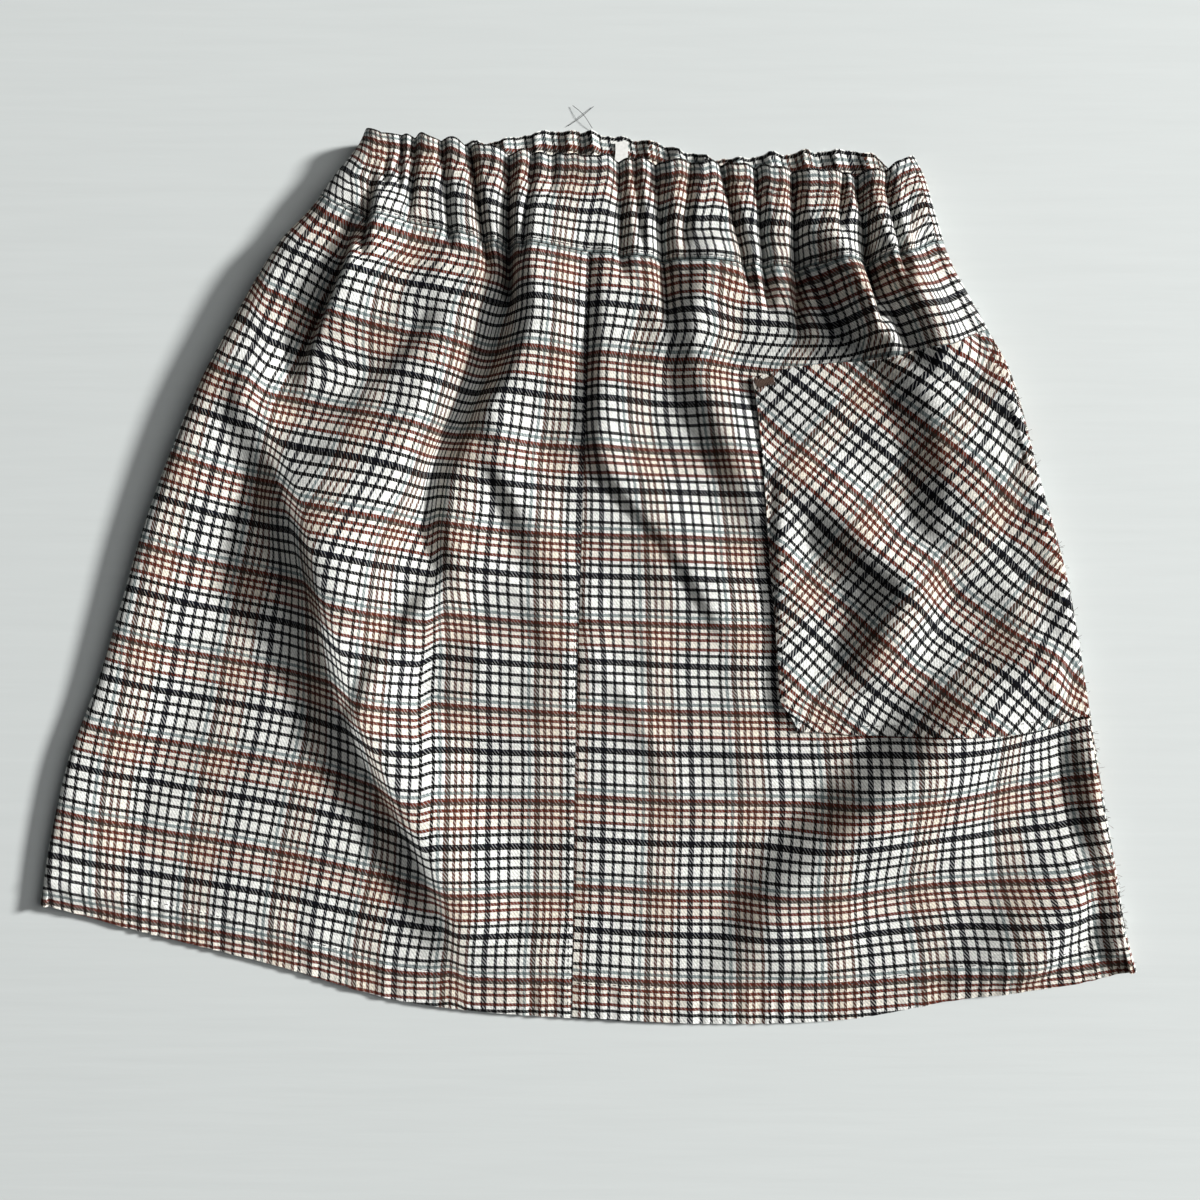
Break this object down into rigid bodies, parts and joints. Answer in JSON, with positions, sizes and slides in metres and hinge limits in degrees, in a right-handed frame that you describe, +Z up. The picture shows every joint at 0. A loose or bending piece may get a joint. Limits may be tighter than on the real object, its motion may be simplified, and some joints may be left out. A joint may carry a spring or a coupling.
{
  "type": "skirt",
  "caption": "Child's A-line skirt in woven plaid, laid flat, with a gathered elastic waistband and frill, a centre front seam and a large patch pocket cut on the bias.",
  "frame": {"origin": "centre of the skirt's bounding box, on the surface that its back lies on", "axes": "+X to the side with the pocket, +Y to the waist, +Z up, away from the surface that the skirt lies on"},
  "size_m": [0.4454, 0.3646, 0.0223],
  "materials": {
    "plaid": "matt twill-woven plaid in cream, black, navy, rust red and grey-green",
    "plaid_bias": "the same matt plaid, cut on the bias",
    "ribbon": "smooth white woven ribbon"
  },
  "bodies": {
    "root": {"front_left": "plaid", "front_right": "plaid", "back": "plaid", "waistband_front": "plaid", "waistband_back": "plaid", "pocket": "plaid_bias", "size_label": "ribbon"}
  },
  "joints": []
}
